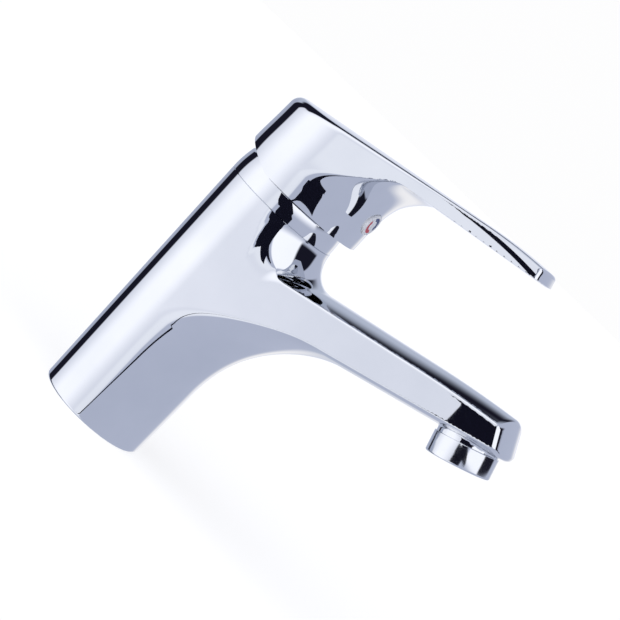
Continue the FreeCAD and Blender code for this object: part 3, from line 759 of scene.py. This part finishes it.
def build_collar():
    edge = COLLAR_EDGE
    seat_r, seat_z = COLLAR_SEAT
    outline = [(seat_r, SEAM_Z), (collar_radius(SEAM_Z) - SEAM_CHAMFER, SEAM_Z)]
    outline += [(collar_radius(SEAM_Z + SEAM_CHAMFER), SEAM_Z + SEAM_CHAMFER)]
    outline += [(collar_radius(z), z) for z in np.linspace(SEAM_Z + 0.8, COLLAR_TOP - edge, 16)]
    shoulder = collar_radius(COLLAR_TOP - edge)
    outline += arc(shoulder - edge, COLLAR_TOP - edge, edge, 12, 90, 8)
    outline += [(COLLAR_BORE + 0.2, COLLAR_TOP), (COLLAR_BORE, COLLAR_TOP - 0.2)]
    outline += [(COLLAR_BORE, seat_z), (seat_r, seat_z)]
    obj = lathe("dome_collar_turned", outline)
    stand_for(obj, "dome_collar", "root")


def nozzle_place():
    return Matrix.Translation((0, NOZZLE_Y, NOZZLE_Z)) @ Matrix.Rotation(-NOZZLE_TILT, 4, "X")


def build_aerator_ring():
    bottom = -RING_H
    upper, lower = RING_EDGES
    seat_r, seat = RING_SEAT
    thread_r = THREAD_R + 0.05
    outline = arc(RING_R - upper, -upper, upper, 90, 0, 5)
    outline += arc(RING_R - lower, bottom + lower, lower, 0, -90, 7)
    outline += arc(RING_HOLE_R + RING_LIP, bottom + RING_LIP, RING_LIP, -90, -180, 4)
    outline += [(RING_HOLE_R, bottom + seat), (seat_r, bottom + seat), (seat_r, RING_THREAD_END)]
    outline += [(thread_r, RING_THREAD_END), (thread_r, 0)]
    obj = lathe("aerator_ring_turned", outline, nozzle_place())
    stand_for(obj, "aerator_housing", "root")


build_casting()
build_handle()
build_collar()
build_aerator_ring()


# ---------------------------------------------------------------- studio
CAMERA_AZ = -70.0         # degrees; 0 looks along +Y
CAMERA_AT = (-0.6774, -0.2815, 0.1826)
CAMERA_EL = 7.63
CAMERA_ROLL = 43.61
CAMERA_LENS = 116.4


def toward(az, el):
    a = math.radians(az)
    e = math.radians(el)
    return Vector((math.sin(a) * math.cos(e), -math.cos(a) * math.cos(e), math.sin(e)))


def build_camera():
    back = toward(CAMERA_AZ, CAMERA_EL)
    right = Vector((math.cos(math.radians(CAMERA_AZ)), math.sin(math.radians(CAMERA_AZ)), 0))
    up = back.cross(right)
    roll = math.radians(CAMERA_ROLL)
    x_axis = right * math.cos(roll) + up * math.sin(roll)
    y_axis = up * math.cos(roll) - right * math.sin(roll)
    data = bpy.data.cameras.new("camera")
    data.lens = CAMERA_LENS
    data.sensor_width = 36.0
    data.clip_start = 0.01
    camera = bpy.data.objects.new("camera", data)
    turned = Matrix((x_axis, y_axis, back)).transposed().to_4x4()
    camera.matrix_world = Matrix.Translation(CAMERA_AT) @ turned
    bpy.context.scene.collection.objects.link(camera)
    bpy.context.scene.camera = camera


class Sky:
    """Builds the studio round the object as a function of direction: soft boxes, cards, gaps."""

    def __init__(self):
        world = bpy.data.worlds.new("studio")
        bpy.context.scene.world = world
        world.use_nodes = True
        self.tree = world.node_tree
        self.tree.nodes.clear()
        coords = self.tree.nodes.new("ShaderNodeTexCoord")
        split = self.tree.nodes.new("ShaderNodeSeparateXYZ")
        self.tree.links.new(coords.outputs["Generated"], split.inputs["Vector"])
        self.x, self.y, self.z = split.outputs
        squares = self.math("ADD", self.math("POWER", self.x, 2.0), self.math("POWER", self.y, 2.0))
        level = self.math("MAXIMUM", self.math("SQRT", squares), 0.001)
        self.elevation = self.math("DEGREES", self.math("ARCTAN2", self.z, level))
        self.colour = None

    def math(self, operation, a, b=None):
        return math_node(self.tree, operation, a, b)

    def weigh(self, operation, a, b):
        """x times a, plus or minus y times b."""
        return self.math(operation, self.math("MULTIPLY", self.x, a), self.math("MULTIPLY", self.y, b))

    def ramp(self, value, low, high):
        """0 below low, 1 above high, smooth between."""
        node = self.tree.nodes.new("ShaderNodeMapRange")
        node.interpolation_type = "SMOOTHSTEP"
        node.inputs["From Min"].default_value = low
        node.inputs["From Max"].default_value = high
        self.tree.links.new(value, node.inputs["Value"])
        return node.outputs["Result"]

    def turned(self, az):
        """Signed degrees of azimuth from az."""
        a = math.radians(az)
        ahead = self.weigh("SUBTRACT", math.sin(a), math.cos(a))
        across = self.weigh("ADD", math.cos(a), math.sin(a))
        return self.math("DEGREES", self.math("ARCTAN2", across, ahead))

    def patch(self, az, width, low, high, soft, soft_el=None):
        """Mask of a card centred on az, width degrees across, from low to high elevation."""
        soft_el = soft if soft_el is None else soft_el
        turn = self.math("ABSOLUTE", self.turned(az))
        side = self.math("SUBTRACT", 1.0, self.ramp(turn, width / 2 - soft, width / 2 + soft))
        above = self.ramp(self.elevation, low - soft_el, low + soft_el)
        below = self.math("SUBTRACT", 1.0, self.ramp(self.elevation, high - soft_el, high + soft_el))
        return self.math("MULTIPLY", side, self.math("MULTIPLY", above, below))

    def paint(self, colour, mask=None):
        if mask is None:
            node = self.tree.nodes.new("ShaderNodeRGB")
            node.outputs[0].default_value = (*colour, 1)
            self.colour = node.outputs[0]
            return
        node = self.tree.nodes.new("ShaderNodeMix")
        node.data_type = "RGBA"
        self.tree.links.new(mask, node.inputs[0])
        self.tree.links.new(self.colour, node.inputs[6])
        node.inputs[7].default_value = (*colour, 1)
        self.colour = node.outputs[2]

    def close(self, backdrop, strength):
        tree = self.tree
        seen = tree.nodes.new("ShaderNodeLightPath")
        mix = tree.nodes.new("ShaderNodeMix")
        mix.data_type = "RGBA"
        tree.links.new(seen.outputs["Is Camera Ray"], mix.inputs[0])
        tree.links.new(self.colour, mix.inputs[6])
        mix.inputs[7].default_value = (*backdrop, 1)
        shade = tree.nodes.new("ShaderNodeBackground")
        shade.inputs["Strength"].default_value = strength
        out = tree.nodes.new("ShaderNodeOutputWorld")
        tree.links.new(mix.outputs[2], shade.inputs["Color"])
        tree.links.new(shade.outputs["Background"], out.inputs["Surface"])


BLACK = (0.010, 0.010, 0.020)
WHITE = (1.17, 1.19, 1.27)
PEARL = (0.80, 0.83, 0.94)
BRIGHT = (0.93, 0.96, 1.05)
LAVENDER = (0.50, 0.54, 0.68)
MIST = (0.42, 0.46, 0.59)
HAZE = (0.50, 0.55, 0.68)
WARM = (0.99, 0.98, 1.0)


def build_sky():
    sky = Sky()
    sky.paint(HAZE)
    sky.paint(PEARL, sky.patch(-134, 106, -80, 75, 1.0))
    sky.paint(WHITE, sky.patch(-139, 58, -80, 75, 20.0))
    sky.paint(BRIGHT, sky.patch(-89, 13, -80, 75, 4.0))
    sky.paint(LAVENDER, sky.patch(10, 182, -90, 90, 2.0))
    sky.paint(WARM, sky.patch(92, 24, -28, 4, 10.0, 5.0))
    sky.paint(WHITE, sky.patch(-30, 64, 6, 75, 4.0))
    sky.paint(PEARL, sky.patch(106, 26, -12, 8, 5.0, 6.0))
    sky.paint(MIST, sky.patch(138, 24, -30, 12, 5.0))
    sky.paint(BLACK, sky.patch(162, 25, -60, 75, 2.0))
    sky.paint(BLACK, sky.patch(156, 64, 20, 58, 3.0))
    sky.paint(BLACK, sky.patch(110, 40, 32, 58, 4.0, 12.0))
    sky.paint(BLACK, sky.patch(24, 48, 8, 60, 3.0))
    sky.close((0.985, 0.985, 0.99), 1.0)  # the backdrop, seen directly


# Two dark cards stand to the object's left, seen only in its reflections. Each has its azimuth, its
# distance and its corners (across, up) in metres. The near one's tail narrows to a line.
CARDS = {
    "near_card": (-65.0, 0.25, [(0.095, 0.028), (0.095, 0.106), (0.060, 0.122), (-0.040, 0.118),
                                (-0.040, 0.085), (-0.028, 0.070), (-0.028, 0.010), (-0.036, -0.012),
                                (-0.066, -0.052), (-0.150, -0.150), (-0.142, -0.150), (-0.058, -0.052),
                                (-0.022, -0.012), (-0.010, 0.010), (0.010, 0.024)]),
    "far_card": (-65.0, 2.0, [(0.61, 0.150), (0.59, 0.29), (0.20, 0.50), (-0.16, 0.67), (-0.30, 1.70),
                              (-0.44, 1.75), (-0.48, 0.90), (-0.93, 0.88), (-0.93, 0.62), (-0.72, 0.30),
                              (-0.50, 0.150)]),
}


def build_card(name, az, distance, corners):
    """A card that only reflections show, like a photographer's flag."""
    across = Vector((math.cos(math.radians(az)), math.sin(math.radians(az)), 0))
    centre = toward(az, 0) * distance
    verts = [centre + across * u + Vector((0, 0, v)) for u, v in corners]
    mesh = bpy.data.meshes.new(name)
    mesh.from_pydata([tuple(v) for v in verts], [], [tuple(range(len(verts)))])
    material, _, shader = new_material(name)
    shader.inputs["Base Color"].default_value = (*BLACK, 1)
    shader.inputs["Roughness"].default_value = 1.0
    shader.inputs["Specular IOR Level"].default_value = 0.0
    mesh.materials.append(material)
    card = place_mesh(name, mesh)
    card.visible_camera = False
    card.visible_diffuse = False
    card.visible_shadow = False


FLOOR_R = 4.0
FLOOR_CORNERS = 48
FLOOR_GLOW = 0.745        # brings the floor up to the backdrop's white


def build_floor():
    mesh = bpy.data.meshes.new("floor")
    turn = 2 * math.pi / FLOOR_CORNERS
    verts = []
    for i in range(FLOOR_CORNERS):
        verts.append((FLOOR_R * math.cos(turn * i), FLOOR_R * math.sin(turn * i), 0.0))
    mesh.from_pydata(verts, [], [tuple(range(FLOOR_CORNERS))])
    floor = place_mesh("floor", mesh)
    floor.visible_glossy = False
    material, _, shader = new_material("floor")
    shader.inputs["Roughness"].default_value = 0.9
    shader.inputs["Base Color"].default_value = (0.45, 0.45, 0.45, 1)
    shader.inputs["Specular IOR Level"].default_value = 0.0
    shader.inputs["Emission Color"].default_value = (1.0, 0.995, 0.985, 1)
    shader.inputs["Emission Strength"].default_value = FLOOR_GLOW
    mesh.materials.append(material)


build_camera()
build_sky()
for card_name, card in CARDS.items():
    build_card(card_name, *card)
build_floor()
view = bpy.context.scene.view_settings
view.view_transform = "Standard"
view.look = "None"
